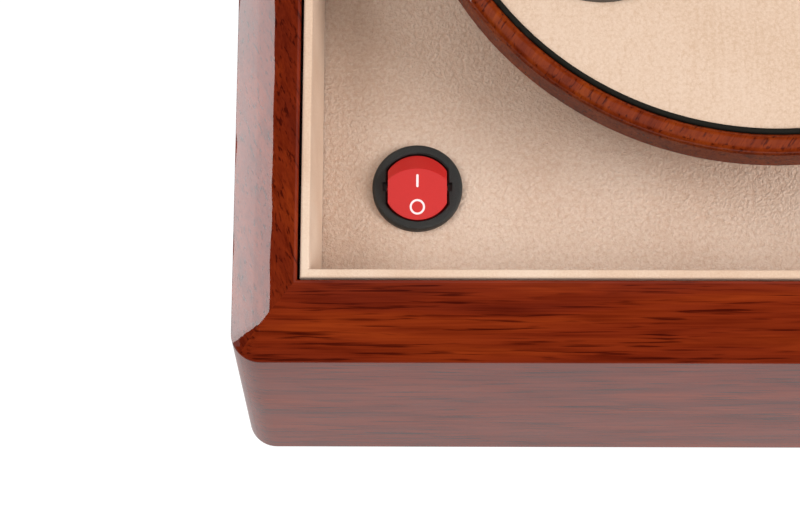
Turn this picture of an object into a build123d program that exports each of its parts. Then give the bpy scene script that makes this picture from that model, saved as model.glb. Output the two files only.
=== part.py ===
from build123d import *
import math
import os

os.makedirs("parts", exist_ok=True)

# A watch winder box, in millimetres.  X runs to the right, Y to the back and Z up.
# The origin is the middle of the felt underside, on the surface the box stands on.
# The lid is drawn open, turned up and back about its hinges.

# ---- Driving sizes: case -------------------------------------------------------
opening_width = 234.0       # clear opening between the rim's inner edges, left to right
opening_depth = 238.0       # the same, front to back
case_wall = 16.8            # wall thickness, which is also the rim's width from above
rim_height = 102.5          # inner edge of the rim, above the table
rim_drop = 15.0             # how far the rim falls from that edge to the outer crease
rim_land = 0.8              # width of the flat land at the inner edge
arris_round = 0.5           # softening of the inner edge
rim_bulge = 0.75            # height of the rim's convex face above its chord
crease_round = 0.5          # softening of the crease between rim and side
corner_round = 7.5          # rounding of the four upright corners
bottom_round = 1.6          # rounding of the lower outside edge
board_thickness = 9.0       # bottom board
board_rebate = 6.0          # width of the rebate that holds the bottom board
board_clearance = 0.3       # all round, between the bottom board and its rebate
felt_thickness = 1.0
felt_inset = 9.0            # from the case's outer faces to the felt's edge
felt_corner = 4.0

# ---- Driving sizes: recess -----------------------------------------------------
recess_depth = 25.0         # rim down to the suede deck
deck_thickness = 4.0
deck_clearance = 0.5        # deck edge to the case walls
deck_shaft_hole = 12.0      # radius
lining_setback = 0.5        # lining top below the rim
lining_gap = 0.7            # lining back to the case wall
lining_top = 2.2            # lining thickness at its upper edge
lining_foot = 4.4           # lining thickness at the deck
lining_round = 0.55         # rounding of the lining's upper edges
lining_lift = 0.6           # open line between the lining's foot and the deck
bearer_width = 12.0
bearer_height = 14.0
bearer_shortfall = 8.0      # bearer end to the front and back walls

# ---- Driving sizes: turntable --------------------------------------------------
ring_outer_radius = 90.6
ring_width = 5.3            # wooden ring, across its half-round face
ring_rise = 13.0            # crown of the ring above the rim
ring_height = 9.5           # ring, from its underside to its crown
ring_lap = 3.0              # how far the ring's skirt hangs outside the disc board
seam_width = 1.4            # black piping between the ring and the suede
seam_drop = 1.0             # top of the piping below the ring's crown
suede_drop = 2.5            # suede face of the disc below the ring's crown
disc_thickness = 6.5
disc_step = 2.6             # height of the wider foot that carries the ring
turntable_turn = 10.0       # resting turn of the disc about its shaft, in degrees
well_offset = 46.5          # well centre to the shaft
cup_half_width = 27.5       # outside of a cup, across the short way
cup_half_length = 40.0      # outside of a cup, across the long way
cup_wall = 1.5
cup_floor = 2.0
cup_ground_gap = 4.0        # underside of a cup above the deck
cup_hole_clearance = 0.3
collar_width = 2.6          # trim collar, outside the cup's outer face
collar_height = 2.4
collar_round = 1.0
cushion_clearance = 1.6     # cushion to the cup wall
cushion_rest_gap = 0.3      # cushion to the cup floor
cushion_height = 42.0
cushion_round = 16.0        # rounding of the cushion's crown
cushion_foot_round = 6.0

# ---- Driving sizes: drive ------------------------------------------------------
shaft_radius = 4.0
running_clearance = 0.05    # radial, for every shaft, pin and pip that turns
fixed_clearance = 0.02      # radial, where a part is fixed on its shaft
hub_radius = 17.0
hub_flange = 4.0
hub_boss_radius = 8.0
hub_boss_height = 12.0
screw_circle = 12.5
plate_height = 48.5         # underside of the drive plate
plate_thickness = 3.0
plate_width = 116.0
plate_depth = 64.0
plate_corner = 6.0
plate_shift = 22.0          # the plate's middle is beside the shaft, towards the motor
post_radius = 4.0
post_inset = 8.0
bush_radius = 8.0
bush_height = 10.0
bush_flange_radius = 13.0
bush_flange = 2.0
washer_radius = 7.5
washer_thickness = 1.0
gear_module = 1.0
gear_teeth = 64
pinion_teeth = 16
gear_face = 6.0
gear_hub_radius = 9.0
gear_hub_rise = 3.0
tooth_addendum = 0.85
tooth_dedendum = 1.25
tooth_backlash = 0.24
pressure_angle = math.radians(20.0)
flank_steps = 5
tooth_foot = 0.97           # a tooth starts this share of the root radius out
gearbox_radius = 12.5
gearbox_height = 9.0
motor_radius = 12.2
motor_height = 15.0
motor_round = 1.4
motor_screw_circle = 8.75
motor_shaft_radius = 2.0
motor_boss_radius = 3.5
clip_radius = 6.5
clip_thickness = 1.2
clip_gap = 0.3
shaft_reach = 3.6           # shaft below the underside of the drive plate
screw_radius = 1.5
screw_head_radius = 2.8
screw_head_height = 1.6
screw_length = 6.0

# ---- Driving sizes: switch -----------------------------------------------------
switch_from_left = 29.3     # switch centre to the rim's inner left edge
switch_from_front = 32.1    # switch centre to the rim's inner front edge
bezel_radius = 11.5
bezel_height = 2.0
bezel_round = 0.8
mouth_bevel = 0.35          # bevel round the bezel's mouth
switch_body_radius = 9.9
switch_hole_clearance = 0.15
switch_body_depth = 14.0
notch_reach = 1.1           # notches in the bezel, beside the rocker's flats
notch_width = 2.4
notch_depth = 0.9
pivot_drop = 2.2            # rocker pivot below the top of the bezel
pip_radius = 0.9
pip_reach = 1.0
rocker_radius = 8.6
rocker_half_width = 7.5
rocker_end_clearance = 0.5
rocker_side_clearance = 0.3
rocker_tilt = 7.5           # each way from level, in degrees
rocker_well_depth = 9.0
rocker_skirt = 1.6          # rocker's lower edge below its pivot
rocker_low_end = 3.85       # face above the pivot at the O end
rocker_crest = 5.45         # face above the pivot at the I end's crest
rocker_crest_y = 4.15       # crest in front of the I end, from the pivot
rocker_crest_radius = 9.4   # radius of the crest's arc in plan
rocker_foot = 1.2           # foot of the I end's bevel above the pivot
rocker_dish = 0.35          # hollow of the face below its chord
rocker_edge = 0.2           # softening of the face's edges
terminal_width = 4.8
terminal_thickness = 0.8
terminal_length = 8.0
terminal_spacing = 9.0

# ---- Driving sizes: power inlet and driver board -------------------------------
inlet_x = 78.0
inlet_height = 32.0
inlet_skin = 3.0            # wall left behind the inlet's pocket
inlet_pocket_radius = 12.0
inlet_barrel_radius = 5.5
inlet_body_radius = 7.5
inlet_body_length = 13.0
inlet_bore_radius = 3.2
inlet_bore_depth = 10.0
inlet_pin_radius = 1.0
inlet_pin_length = 6.0
inlet_barrel_reach = 3.4    # barrel beyond the wall's outer face
nut_radius = 8.0
nut_thickness = 2.2
board_x = -58.0
board_y = 62.0
circuit_width = 56.0
circuit_depth = 38.0
circuit_thickness = 1.6
circuit_lift = 6.0
circuit_post_inset = 4.0
circuit_post_radius = 2.4
chip_width = 9.0
chip_depth = 6.0
chip_height = 2.0
capacitor_radius = 4.0
capacitor_height = 11.0
plug_block_width = 8.0
plug_block_height = 6.0
wire_radius = 1.1
wire_bend = 5.0
wire_lead = 15.0            # straight lead out of the inlet
wire_sweep = 20.0           # how far a wire runs before it turns to its block

# ---- Driving sizes: lid --------------------------------------------------------
lid_height = 65.0           # closed lid, from its lower face to its top
lid_gap = 0.6               # rim to the closed lid
lid_land = 3.0              # width of the flat land under the lid's inner edge
lid_lower_drop = 6.0        # how far the lid's lower outside edge is cut back
lid_lip = 6.0               # lip that holds the glass, inside the wall
lid_lip_thickness = 6.0
glass_thickness = 3.0
glass_clearance = 0.5
lid_lining_thickness = 2.8
lid_lining_gap = 0.3
lid_lining_setback = 4.0
bumper_radius = 1.3
bumper_height = 0.45
bumper_from_corner = 12.0
lid_open_angle = 90.0       # turned up from closed, in degrees

# ---- Driving sizes: hinges -----------------------------------------------------
hinge_spacing = 150.0       # between the two hinges' middles
hinge_length = 36.0
hinge_leaf = 1.5
knuckle_radius = 3.0
pin_radius = 1.5
knuckle_gap = 0.3
base_leaf_height = 34.0     # from the hinge axis down
lid_leaf_height = 26.0      # from the hinge axis up
leaf_screw_spacing = 20.0
base_leaf_screw_drop = 24.0
lid_leaf_screw_rise = 17.0

# ---- Worked out from the driving sizes -----------------------------------------
case_width = opening_width + 2 * case_wall
case_depth = opening_depth + 2 * case_wall
crease_height = rim_height - rim_drop
deck_top = rim_height - recess_depth
deck_underside = deck_top - deck_thickness
board_top = felt_thickness + board_thickness
crown_height = rim_height + ring_rise
ring_underside = crown_height - ring_height
ring_inner_radius = ring_outer_radius - ring_width
suede_radius = ring_inner_radius - seam_width
suede_top = crown_height - suede_drop
disc_underside = suede_top - disc_thickness
disc_shelf = disc_underside + disc_step
cup_underside = deck_top + cup_ground_gap
cushion_underside = cup_underside + cup_floor + cushion_rest_gap
plate_top = plate_height + plate_thickness
bush_top = plate_top + bush_height
gear_underside = bush_top + washer_thickness
shaft_bottom = plate_height - shaft_reach
gear_distance = gear_module * (gear_teeth + pinion_teeth) / 2
switch_x = -opening_width / 2 + switch_from_left
switch_y = -opening_depth / 2 + switch_from_front
bezel_top = deck_top + bezel_height
rocker_pivot = bezel_top - pivot_drop
hinge_y = case_depth / 2 + knuckle_radius
hinge_z = rim_height + lid_gap / 2

sides = {
    "front": (0, case_width, case_depth / 2, opening_width, opening_depth / 2),
    "right": (90, case_depth, case_width / 2, opening_depth, opening_width / 2),
    "back": (180, case_width, case_depth / 2, opening_width, opening_depth / 2),
    "left": (270, case_depth, case_width / 2, opening_depth, opening_width / 2),
}

# The open lid's own frame: the closed lid's place, turned about the hinge axis.
# Its origin is the middle of the lid's lower face, and its Z is the lid's way up.
hinge_line = Location((0, hinge_y, hinge_z), (-lid_open_angle, 0, 0))
lid_frame = Plane(hinge_line * Location((0, -hinge_y, lid_gap / 2)))
table_frame = Plane(Location((0, 0, 0), (0, 0, turntable_turn)))


def side_frame(base, turn, reach):
    """Frame on one side of a box: X along the side, Y inwards, Z up."""
    return Plane(base.location * Location((0, 0, 0), (0, 0, turn)) * Location((0, -reach, 0)))


def shifted(base, x, y):
    """The same frame, moved along its own X and Y."""
    return Plane(base.location * Location((x, y, 0)))


def cross_plane(frame, along=0.0):
    """Plane across a side: its x runs inwards and its y runs up."""
    origin = frame.from_local_coords(Vector(along, 0, 0))
    return Plane(origin=origin, x_dir=frame.y_dir, z_dir=frame.x_dir)


def bulged(start, end, bulge):
    """Middle point of an arc that stands a given height off its chord, on the left."""
    run = Vector(*end) - Vector(*start)
    off = Vector(-run.Y, run.X).normalized() * bulge
    return (Vector(*start) + Vector(*end)) * 0.5 + off


def case_section(plane, reach):
    """Cross-section of a case wall, as far inwards as reach."""
    crease = (0, crease_height)
    land = (case_wall - rim_land, rim_height)
    quarter = bottom_round * (1 - math.sqrt(0.5))
    with BuildSketch(plane) as section:
        with BuildLine():
            ThreePointArc(crease, bulged(crease, land, rim_bulge), land)
            Polyline(
                land,
                (case_wall, rim_height),
                (case_wall, board_top),
                (case_wall - board_rebate, board_top),
                (case_wall - board_rebate, felt_thickness),
                (bottom_round, felt_thickness),
            )
            ThreePointArc(
                (bottom_round, felt_thickness),
                (quarter, felt_thickness + quarter),
                (0, felt_thickness + bottom_round),
            )
            Line((0, felt_thickness + bottom_round), crease)
        make_face()
        fillet(section.vertices().sort_by_distance((0, crease_height, 0))[0], crease_round)
        fillet(section.vertices().sort_by_distance((case_wall, rim_height, 0))[0], arris_round)
        Rectangle(reach, rim_height, align=(Align.MIN, Align.MIN), mode=Mode.INTERSECT)
    return section.sketch


def lid_section(plane, reach):
    """Cross-section of a lid rail, as far inwards as reach."""
    crease = (0, lid_height - rim_drop)
    land = (case_wall - rim_land, lid_height)
    lower_land = (case_wall - lid_land, 0)
    lower_crease = (0, lid_lower_drop)
    lip_foot = lid_height - lid_lip_thickness
    with BuildSketch(plane) as section:
        with BuildLine():
            ThreePointArc(crease, bulged(crease, land, rim_bulge), land)
            Polyline(
                land,
                (case_wall + lid_lip, lid_height),
                (case_wall + lid_lip, lip_foot),
                (case_wall, lip_foot),
                (case_wall, 0),
                lower_land,
            )
            ThreePointArc(lower_land, bulged(lower_land, lower_crease, rim_bulge), lower_crease)
            Line(lower_crease, crease)
        make_face()
        outer_corners = section.vertices().sort_by(Axis.X)[:2]
        fillet(outer_corners, crease_round)
        Rectangle(reach, lid_height, align=(Align.MIN, Align.MIN), mode=Mode.INTERSECT)
    return section.sketch


def mitre_outline(plane, length, depth):
    """Plan of one side with its ends mitred at 45 degrees."""
    with BuildSketch(plane) as outline:
        Polygon(
            (-length / 2, 0),
            (length / 2, 0),
            (length / 2 - depth, depth),
            (-length / 2 + depth, depth),
            align=None,
        )
    return outline.sketch


def corner_axis(frame, length, end):
    """Upright axis of a rounded corner, at one end of a side."""
    centre = frame.from_local_coords(Vector(end * (length / 2 - corner_round), corner_round, 0))
    return Axis(centre, frame.z_dir * end)


def gear_outline(plane, teeth, first_tooth):
    """Spur gear outline with involute flanks, one tooth pointing at first_tooth degrees."""
    pitch_radius = gear_module * teeth / 2
    base_radius = pitch_radius * math.cos(pressure_angle)
    tip_radius = pitch_radius + tooth_addendum * gear_module
    root_radius = pitch_radius - tooth_dedendum * gear_module
    half_tooth = math.pi / (2 * teeth) - tooth_backlash / (2 * pitch_radius)
    half_base = half_tooth + math.tan(pressure_angle) - pressure_angle
    foot_radius = max(base_radius, root_radius)
    flank = [(root_radius * tooth_foot, half_base)]
    for step in range(flank_steps + 1):
        radius = foot_radius + (tip_radius - foot_radius) * step / flank_steps
        roll = math.acos(min(1.0, base_radius / radius))
        flank.append((radius, half_base - math.tan(roll) + roll))
    lower = [(r * math.cos(a), -r * math.sin(a)) for r, a in flank]
    upper = [(r * math.cos(a), r * math.sin(a)) for r, a in reversed(flank)]
    with BuildSketch(plane) as outline:
        Circle(root_radius)
        with PolarLocations(0, teeth, start_angle=first_tooth):
            Polygon(*lower, *upper, align=None)
    return outline.sketch


# ---- Case walls: veneered boards, mitred at the corners ------------------------
inlet_plane = Plane(origin=(inlet_x, case_depth / 2, inlet_height), z_dir=(0, 1, 0))
for side, (turn, length, reach, _, _) in sides.items():
    frame = side_frame(Plane.XY, turn, reach)
    with BuildPart() as base_wall:
        extrude(case_section(cross_plane(frame), case_wall), amount=length / 2 - corner_round, both=True)
        extrude(mitre_outline(frame, length, case_wall), amount=rim_height, mode=Mode.INTERSECT)
        for end in (-1, 1):
            corner = cross_plane(frame, end * (length / 2 - corner_round))
            revolve(case_section(corner, corner_round), corner_axis(frame, length, end), 45)
        if side == "back":
            with BuildSketch(inlet_plane.offset(-inlet_skin)):
                Circle(inlet_pocket_radius)
            extrude(amount=-case_wall, mode=Mode.SUBTRACT)
            with BuildSketch(inlet_plane):
                Circle(inlet_barrel_radius + fixed_clearance)
            extrude(amount=-case_wall, mode=Mode.SUBTRACT)
    base_wall.part.label = f"base_wall_{side}"
    export_step(base_wall.part, f"parts/base_wall_{side}.step")

# ---- Bottom board, let into a rebate round the walls ---------------------------
with BuildPart() as base_board:
    board_growth = 2 * (board_rebate - board_clearance)
    with BuildSketch(Plane.XY.offset(felt_thickness)):
        Rectangle(opening_width + board_growth, opening_depth + board_growth)
    extrude(amount=board_thickness)
base_board.part.label = "base_board"
export_step(base_board.part, "parts/base_board.step")

# ---- Felt sheet under the box --------------------------------------------------
with BuildPart() as base_felt:
    with BuildSketch():
        RectangleRounded(case_width - 2 * felt_inset, case_depth - 2 * felt_inset, felt_corner)
    extrude(amount=felt_thickness)
base_felt.part.label = "base_felt"
export_step(base_felt.part, "parts/base_felt.step")

# ---- Deck: suede-covered board on two bearers ----------------------------------
with BuildPart() as deck_panel:
    with BuildSketch(Plane.XY.offset(deck_underside)):
        Rectangle(opening_width - 2 * deck_clearance, opening_depth - 2 * deck_clearance)
        Circle(deck_shaft_hole, mode=Mode.SUBTRACT)
        with Locations((switch_x, switch_y)):
            Circle(switch_body_radius + switch_hole_clearance, mode=Mode.SUBTRACT)
    extrude(amount=deck_thickness)
deck_panel.part.label = "deck_panel"
export_step(deck_panel.part, "parts/deck_panel.step")

for side in ("left", "right"):
    turn, _, _, length, reach = sides[side]
    bearer_frame = side_frame(Plane.XY, turn, reach).offset(deck_underside - bearer_height)
    with BuildPart() as deck_bearer:
        with BuildSketch(bearer_frame):
            Rectangle(length - 2 * bearer_shortfall, bearer_width, align=(Align.CENTER, Align.MIN))
        extrude(amount=bearer_height)
    deck_bearer.part.label = f"deck_bearer_{side}"
    export_step(deck_bearer.part, f"parts/deck_bearer_{side}.step")

# ---- Recess lining: velvet-covered boards that lean in towards the deck --------
for side, (turn, _, _, length, reach) in sides.items():
    frame = side_frame(Plane.XY, turn, reach)
    lining_crest = rim_height - lining_setback
    with BuildPart() as lining:
        with BuildSketch(cross_plane(frame)) as lining_face:
            Polygon(
                (lining_gap, deck_top + lining_lift),
                (lining_gap, lining_crest),
                (lining_gap + lining_top, lining_crest),
                (lining_gap + lining_foot, deck_top + lining_lift),
                align=None,
            )
            fillet(lining_face.vertices().group_by(Axis.Y)[-1], lining_round)
        extrude(amount=length / 2, both=True)
        extrude(mitre_outline(frame, length, case_wall), amount=rim_height, mode=Mode.INTERSECT)
    lining.part.label = f"lining_{side}"
    export_step(lining.part, f"parts/lining_{side}.step")

# ---- Turntable disc: suede-covered board with a wider foot under the ring ------
with BuildPart() as turntable_disc:
    with BuildSketch(table_frame.offset(disc_underside)):
        Circle(ring_outer_radius - ring_lap)
    extrude(amount=disc_step)
    with BuildSketch(table_frame.offset(disc_shelf)):
        Circle(suede_radius)
    extrude(amount=disc_thickness - disc_step)
    with BuildSketch(table_frame.offset(disc_underside)):
        with Locations((-well_offset, 0), (well_offset, 0)):
            Ellipse(cup_half_width + cup_hole_clearance, cup_half_length + cup_hole_clearance)
    extrude(amount=disc_thickness, mode=Mode.SUBTRACT)
turntable_disc.part.label = "turntable_disc"
export_step(turntable_disc.part, "parts/turntable_disc.step")

# ---- Turntable ring: turned wood, half-round on top, lapped over the disc ------
with BuildPart() as turntable_ring:
    ring_shoulder = crown_height - ring_width / 2
    ring_middle = ring_outer_radius - ring_width / 2
    with BuildSketch(Plane.XZ):
        with BuildLine():
            ThreePointArc(
                (ring_inner_radius, ring_shoulder),
                (ring_middle, crown_height),
                (ring_outer_radius, ring_shoulder),
            )
            Polyline(
                (ring_outer_radius, ring_shoulder),
                (ring_outer_radius, ring_underside),
                (ring_outer_radius - ring_lap, ring_underside),
                (ring_outer_radius - ring_lap, disc_shelf),
                (ring_inner_radius, disc_shelf),
                (ring_inner_radius, ring_shoulder),
            )
        make_face()
    revolve(axis=Axis.Z)
turntable_ring.part.label = "turntable_ring"
export_step(turntable_ring.part, "parts/turntable_ring.step")

# ---- Piping: black cord in the groove between the ring and the suede -----------
with BuildPart() as ring_piping:
    piping_top = crown_height - seam_drop - seam_width / 2
    with BuildSketch(Plane.XZ):
        with BuildLine():
            ThreePointArc(
                (suede_radius, piping_top),
                (suede_radius + seam_width / 2, piping_top + seam_width / 2),
                (ring_inner_radius, piping_top),
            )
            Polyline(
                (ring_inner_radius, piping_top),
                (ring_inner_radius, disc_shelf),
                (suede_radius, disc_shelf),
                (suede_radius, piping_top),
            )
        make_face()
    revolve(axis=Axis.Z)
ring_piping.part.label = "ring_piping"
export_step(ring_piping.part, "parts/ring_piping.step")

# ---- Wells: a cup through the disc, a trim collar and a lift-out cushion -------
for side, place in (("left", -well_offset), ("right", well_offset)):
    well_frame = shifted(table_frame, place, 0)
    inner_half_width = cup_half_width - cup_wall
    inner_half_length = cup_half_length - cup_wall
    with BuildPart() as well_cup:
        with BuildSketch(well_frame.offset(cup_underside)):
            Ellipse(cup_half_width, cup_half_length)
        extrude(amount=suede_top - cup_underside)
        with BuildSketch(well_frame.offset(cup_underside + cup_floor)):
            Ellipse(inner_half_width, inner_half_length)
        extrude(amount=suede_top - cup_underside, mode=Mode.SUBTRACT)
    well_cup.part.label = f"well_cup_{side}"
    export_step(well_cup.part, f"parts/well_cup_{side}.step")

    with BuildPart() as well_collar:
        with BuildSketch(well_frame.offset(suede_top)):
            Ellipse(cup_half_width + collar_width, cup_half_length + collar_width)
            Ellipse(inner_half_width, inner_half_length, mode=Mode.SUBTRACT)
        extrude(amount=collar_height)
        fillet(well_collar.faces().sort_by(Axis.Z)[-1].edges(), collar_round)
    well_collar.part.label = f"well_collar_{side}"
    export_step(well_collar.part, f"parts/well_collar_{side}.step")

    with BuildPart() as watch_cushion:
        with BuildSketch(well_frame.offset(cushion_underside)):
            Ellipse(inner_half_width - cushion_clearance, inner_half_length - cushion_clearance)
        extrude(amount=cushion_height)
        fillet(watch_cushion.faces().sort_by(Axis.Z)[-1].edges(), cushion_round)
        fillet(watch_cushion.faces().sort_by(Axis.Z)[0].edges(), cushion_foot_round)
    watch_cushion.part.label = f"watch_cushion_{side}"
    export_step(watch_cushion.part, f"parts/watch_cushion_{side}.step")

# ---- Hub: flanged boss screwed under the disc, fixed on the shaft --------------
with BuildPart() as turntable_hub:
    with BuildSketch(table_frame.offset(disc_underside)):
        Circle(hub_radius)
    extrude(amount=-hub_flange)
    with BuildSketch(table_frame.offset(disc_underside - hub_flange)):
        Circle(hub_boss_radius)
    extrude(amount=-hub_boss_height)
    with BuildSketch(table_frame.offset(disc_underside)):
        Circle(shaft_radius + fixed_clearance)
    extrude(amount=-hub_flange - hub_boss_height, mode=Mode.SUBTRACT)
    with BuildSketch(table_frame.offset(disc_underside)):
        with PolarLocations(screw_circle, 4, start_angle=45):
            Circle(screw_radius + fixed_clearance)
    extrude(amount=-hub_flange, mode=Mode.SUBTRACT)
turntable_hub.part.label = "turntable_hub"
export_step(turntable_hub.part, "parts/turntable_hub.step")

with BuildPart() as hub_screws:
    with BuildSketch(table_frame.offset(disc_underside - hub_flange)):
        with PolarLocations(screw_circle, 4, start_angle=45):
            Circle(screw_radius)
    extrude(amount=hub_flange)
    with BuildSketch(table_frame.offset(disc_underside - hub_flange)):
        with PolarLocations(screw_circle, 4, start_angle=45):
            Circle(screw_head_radius)
    extrude(amount=-screw_head_height)
hub_screws.part.label = "hub_screws"
export_step(hub_screws.part, "parts/hub_screws.step")

# ---- Shaft, from the retaining clip up into the hub ----------------------------
with BuildPart() as turntable_shaft:
    with BuildSketch(table_frame.offset(shaft_bottom)):
        Circle(shaft_radius)
    extrude(amount=disc_underside - shaft_bottom)
turntable_shaft.part.label = "turntable_shaft"
export_step(turntable_shaft.part, "parts/turntable_shaft.step")

with BuildPart() as shaft_clip:
    with BuildSketch(table_frame.offset(plate_height - clip_gap)):
        Circle(clip_radius)
        Circle(shaft_radius + fixed_clearance, mode=Mode.SUBTRACT)
    extrude(amount=-clip_thickness)
shaft_clip.part.label = "shaft_clip"
export_step(shaft_clip.part, "parts/shaft_clip.step")

# ---- Large gear on the shaft, resting on a thrust washer -----------------------
with BuildPart() as turntable_gear:
    extrude(gear_outline(Plane.XY.offset(gear_underside), gear_teeth, 0), amount=gear_face)
    with BuildSketch(Plane.XY.offset(gear_underside + gear_face)):
        Circle(gear_hub_radius)
    extrude(amount=gear_hub_rise)
    with BuildSketch(Plane.XY.offset(gear_underside)):
        Circle(shaft_radius + fixed_clearance)
    extrude(amount=gear_face + gear_hub_rise, mode=Mode.SUBTRACT)
turntable_gear.part.label = "turntable_gear"
export_step(turntable_gear.part, "parts/turntable_gear.step")

with BuildPart() as thrust_washer:
    with BuildSketch(Plane.XY.offset(bush_top)):
        Circle(washer_radius)
        Circle(shaft_radius + running_clearance, mode=Mode.SUBTRACT)
    extrude(amount=washer_thickness)
thrust_washer.part.label = "thrust_washer"
export_step(thrust_washer.part, "parts/thrust_washer.step")

# ---- Shaft bush: flanged brass bush let into the drive plate -------------------
with BuildPart() as shaft_bush:
    with BuildSketch(Plane.XY.offset(plate_top)):
        Circle(bush_flange_radius)
    extrude(amount=bush_flange)
    with BuildSketch(Plane.XY.offset(plate_height)):
        Circle(bush_radius)
    extrude(amount=bush_top - plate_height)
    with BuildSketch(Plane.XY.offset(plate_height)):
        Circle(shaft_radius + running_clearance)
    extrude(amount=bush_top - plate_height, mode=Mode.SUBTRACT)
shaft_bush.part.label = "shaft_bush"
export_step(shaft_bush.part, "parts/shaft_bush.step")

# ---- Drive plate on four posts -------------------------------------------------
plate_plane = shifted(Plane.XY, plate_shift, 0)
post_spacing_x = plate_width - 2 * post_inset
post_spacing_y = plate_depth - 2 * post_inset


def plate_screw_spots(height, radius):
    """Circles at the drive plate's six equal screws: four on posts, two in the gearbox."""
    with BuildSketch(Plane.XY.offset(height)) as spots:
        with Locations((plate_shift, 0)):
            with GridLocations(post_spacing_x, post_spacing_y, 2, 2):
                Circle(radius)
        with Locations((gear_distance, 0)):
            with PolarLocations(motor_screw_circle, 2, start_angle=90):
                Circle(radius)
    return spots.sketch


with BuildPart() as drive_plate:
    with BuildSketch(plate_plane.offset(plate_height)):
        RectangleRounded(plate_width, plate_depth, plate_corner)
    extrude(amount=plate_thickness)
    screw_holes = plate_screw_spots(plate_height, screw_radius + fixed_clearance)
    extrude(screw_holes, amount=plate_thickness, mode=Mode.SUBTRACT)
    with BuildSketch(Plane.XY.offset(plate_height)):
        Circle(bush_radius + fixed_clearance)
        with Locations((gear_distance, 0)):
            Circle(motor_boss_radius + running_clearance)
    extrude(amount=plate_thickness, mode=Mode.SUBTRACT)
drive_plate.part.label = "drive_plate"
export_step(drive_plate.part, "parts/drive_plate.step")

with BuildPart() as plate_posts:
    with BuildSketch(plate_plane.offset(board_top)):
        with GridLocations(post_spacing_x, post_spacing_y, 2, 2):
            Circle(post_radius)
    extrude(amount=plate_height - board_top)
plate_posts.part.label = "plate_posts"
export_step(plate_posts.part, "parts/plate_posts.step")

with BuildPart() as plate_screws:
    extrude(plate_screw_spots(plate_height, screw_radius), amount=plate_thickness)
    extrude(plate_screw_spots(plate_top, screw_head_radius), amount=screw_head_height)
plate_screws.part.label = "plate_screws"
export_step(plate_screws.part, "parts/plate_screws.step")

# ---- Gearmotor: gearbox and motor can under the plate, pinion above ------------
motor_plane = shifted(Plane.XY, gear_distance, 0)
with BuildPart() as motor_gearbox:
    with BuildSketch(motor_plane.offset(plate_height)):
        Circle(gearbox_radius)
    extrude(amount=-gearbox_height)
    with BuildSketch(motor_plane.offset(plate_height)):
        Circle(motor_boss_radius)
    extrude(amount=plate_thickness)
    with BuildSketch(motor_plane.offset(plate_top)):
        Circle(motor_shaft_radius + running_clearance)
    extrude(amount=-plate_thickness - gearbox_height / 2, mode=Mode.SUBTRACT)
motor_gearbox.part.label = "motor_gearbox"
export_step(motor_gearbox.part, "parts/motor_gearbox.step")

with BuildPart() as motor_can:
    with BuildSketch(motor_plane.offset(plate_height - gearbox_height)):
        Circle(motor_radius)
    extrude(amount=-motor_height)
    fillet(motor_can.faces().sort_by(Axis.Z)[0].edges(), motor_round)
motor_can.part.label = "motor_can"
export_step(motor_can.part, "parts/motor_can.step")

with BuildPart() as motor_pinion:
    first_gap = 180 + 180 / pinion_teeth
    pinion_outline = gear_outline(motor_plane.offset(gear_underside), pinion_teeth, first_gap)
    extrude(pinion_outline, amount=gear_face)
    shaft_foot = plate_height - gearbox_height / 2 + clip_gap
    with BuildSketch(motor_plane.offset(shaft_foot)):
        Circle(motor_shaft_radius)
    extrude(amount=gear_underside + gear_face - shaft_foot)
motor_pinion.part.label = "motor_pinion"
export_step(motor_pinion.part, "parts/motor_pinion.step")

# ---- Round rocker switch: bezel and body, rocker, blade terminals --------------
switch_plane = shifted(Plane.XY, switch_x, switch_y)
mouth_radius = rocker_radius + rocker_end_clearance
mouth_half_width = rocker_half_width + rocker_side_clearance
with BuildPart() as switch_body:
    with BuildSketch(switch_plane.offset(deck_top - switch_body_depth)):
        Circle(switch_body_radius)
    extrude(amount=switch_body_depth)
    with BuildSketch(switch_plane.offset(deck_top)):
        Circle(bezel_radius)
    extrude(amount=bezel_height)
    fillet(switch_body.faces().sort_by(Axis.Z)[-1].edges(), bezel_round)
    with BuildSketch(switch_plane.offset(bezel_top)):
        Circle(mouth_radius)
        Rectangle(2 * mouth_half_width, 2 * mouth_radius, mode=Mode.INTERSECT)
    extrude(amount=-rocker_well_depth, mode=Mode.SUBTRACT)
    chamfer(switch_body.faces().sort_by(Axis.Z)[-1].inner_wires()[0].edges(), mouth_bevel)
    with BuildSketch(Plane(origin=(switch_x, switch_y, rocker_pivot), z_dir=(1, 0, 0))):
        Circle(pip_radius + running_clearance)
    extrude(amount=mouth_half_width + pip_reach, both=True, mode=Mode.SUBTRACT)
    with BuildSketch(switch_plane.offset(bezel_top)):
        Rectangle(2 * (mouth_half_width + notch_reach), notch_width)
    extrude(amount=-notch_depth, mode=Mode.SUBTRACT)
switch_body.part.label = "switch_body"
export_step(switch_body.part, "parts/switch_body.step")

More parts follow.
